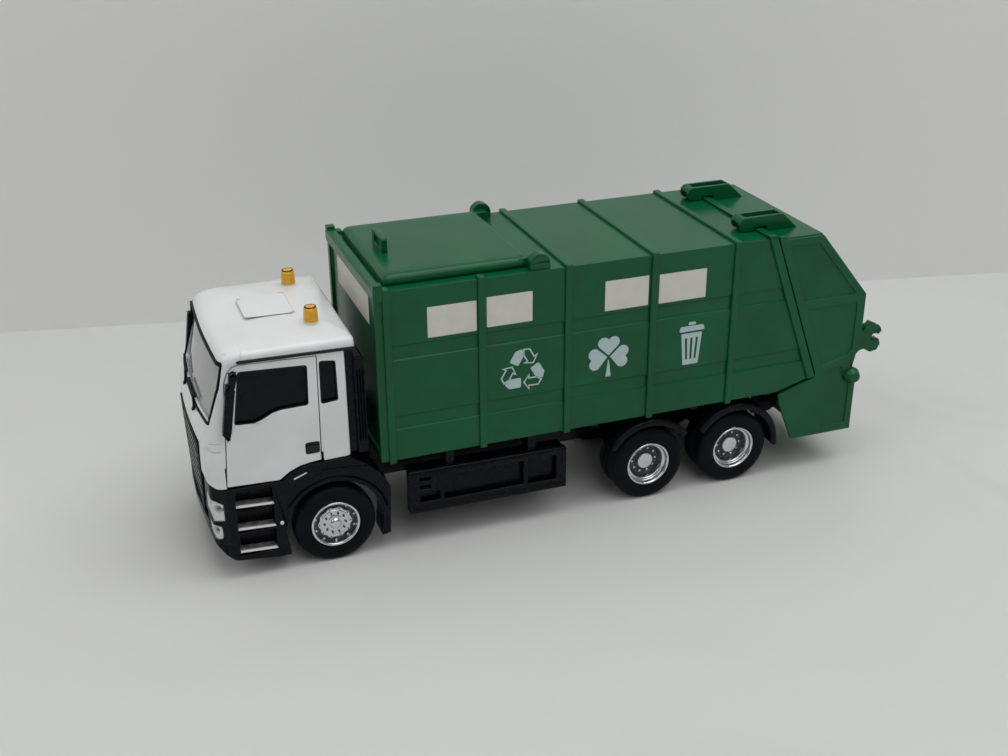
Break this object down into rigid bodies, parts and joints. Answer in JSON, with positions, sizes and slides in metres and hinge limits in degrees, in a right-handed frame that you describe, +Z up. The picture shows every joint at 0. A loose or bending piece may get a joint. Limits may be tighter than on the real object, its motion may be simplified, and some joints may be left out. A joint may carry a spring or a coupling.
{
  "type": "toy garbage truck",
  "caption": "Toy rear-loading garbage truck with white cab, opening doors, ribbed green body, roof lid, lifting tailgate with hopper, tipping bin hooks and rolling wheels.",
  "frame": {"origin": "on the ground, midway between the front bumper and the tips of the bin hooks, on the centre line", "axes": "+X to the truck's left, +Y to its rear, +Z up"},
  "size_m": [0.0878, 0.3143, 0.1282],
  "materials": {
    "chassis_black": "satin moulded plastic",
    "tyre_rubber": "smooth toy tyre",
    "chrome_plastic": "vacuum metallised plastic",
    "axle_steel": "drawn steel pin",
    "cab_white": "gloss white enamel on die-cast metal",
    "smoked_glazing": "dark tinted moulded glazing",
    "clear_glazing": "clear moulded glazing",
    "trim_black": "gloss black trim",
    "cabin_grey": "dark grey cabin moulding",
    "beacon_amber": "translucent amber plastic",
    "lamp_clear": "clear lens over a silver reflector",
    "tail_lamp_red": "translucent red plastic",
    "body_green": "gloss green moulded plastic"
  },
  "bodies": {
    "truck": {"beacons": "beacon_amber", "body_subframe": "chassis_black", "bumper": "chassis_black", "cab_floor": "cabin_grey", "cab_shell": "cab_white", "chassis_frame": "chassis_black", "dashboard": "cabin_grey", "fog_lamps": "lamp_clear", "front_wings": "chassis_black", "grille": "trim_black", "headlamps": "lamp_clear", "quarter_windows": "smoked_glazing", "rear_air_intake": "chassis_black", "rear_window_pane": "smoked_glazing", "rear_wings": "chassis_black", "refuse_body": "body_green", "roof_hatch": "cab_white", "seats": "cabin_grey", "side_guard_left": "chassis_black", "side_guard_right": "chassis_black", "steering_wheel": "cabin_grey", "step_treads": "chrome_plastic", "windscreen": "clear_glazing", "wipers": "trim_black"},
    "front_axle": {"front_tyre_left": "tyre_rubber", "front_tyre_right": "tyre_rubber", "front_rims": "chrome_plastic", "front_axle_pin": "axle_steel"},
    "middle_axle": {"middle_tyre_left": "tyre_rubber", "middle_tyre_right": "tyre_rubber", "middle_rims": "chrome_plastic", "middle_axle_pin": "axle_steel"},
    "rear_axle": {"rear_tyre_left": "tyre_rubber", "rear_tyre_right": "tyre_rubber", "rear_rims": "chrome_plastic", "rear_axle_pin": "axle_steel"},
    "door_left": {"door_left": "cab_white", "door_glass_left": "smoked_glazing", "door_handle_left": "trim_black", "mirror_left": "trim_black"},
    "door_right": {"door_right": "cab_white", "door_glass_right": "smoked_glazing", "door_handle_right": "trim_black", "mirror_right": "trim_black"},
    "roof_lid": {"roof_lid": "body_green"},
    "tailgate": {"tailgate": "body_green", "hopper": "body_green", "packer_plate": "body_green", "tailgate_hinge": "body_green", "lifter_bosses": "body_green", "tail_lamps": "tail_lamp_red"},
    "bin_lifter": {"bin_lifter": "body_green"}
  },
  "joints": [
    {"name": "front_axle_roll", "type": "hinge", "parent": "truck", "child": "front_axle", "pos_m": [0, -0.1056, 0.0173], "axis": [1, 0, 0], "continuous": true},
    {"name": "middle_axle_roll", "type": "hinge", "parent": "truck", "child": "middle_axle", "pos_m": [0, 0.038, 0.0173], "axis": [1, 0, 0], "continuous": true},
    {"name": "rear_axle_roll", "type": "hinge", "parent": "truck", "child": "rear_axle", "pos_m": [0, 0.0812, 0.0173], "axis": [1, 0, 0], "continuous": true},
    {"name": "door_left_swing", "type": "hinge", "parent": "truck", "child": "door_left", "pos_m": [0.0374, -0.1482, 0.07], "axis": [0, 0, -1], "range_deg": [0, 65]},
    {"name": "door_right_swing", "type": "hinge", "parent": "truck", "child": "door_right", "pos_m": [-0.0374, -0.1482, 0.07], "axis": [0, 0, 1], "range_deg": [0, 65]},
    {"name": "roof_lid_swing", "type": "hinge", "parent": "truck", "child": "roof_lid", "pos_m": [0, -0.015, 0.1199], "axis": [-1, 0, 0], "range_deg": [0, 95]},
    {"name": "tailgate_lift", "type": "hinge", "parent": "truck", "child": "tailgate", "pos_m": [0, 0.0848, 0.121], "axis": [1, 0, 0], "range_deg": [0, 80]},
    {"name": "bin_lifter_tip", "type": "hinge", "parent": "tailgate", "child": "bin_lifter", "pos_m": [0, 0.141, 0.045], "axis": [1, 0, 0], "range_deg": [0, 55]}
  ]
}
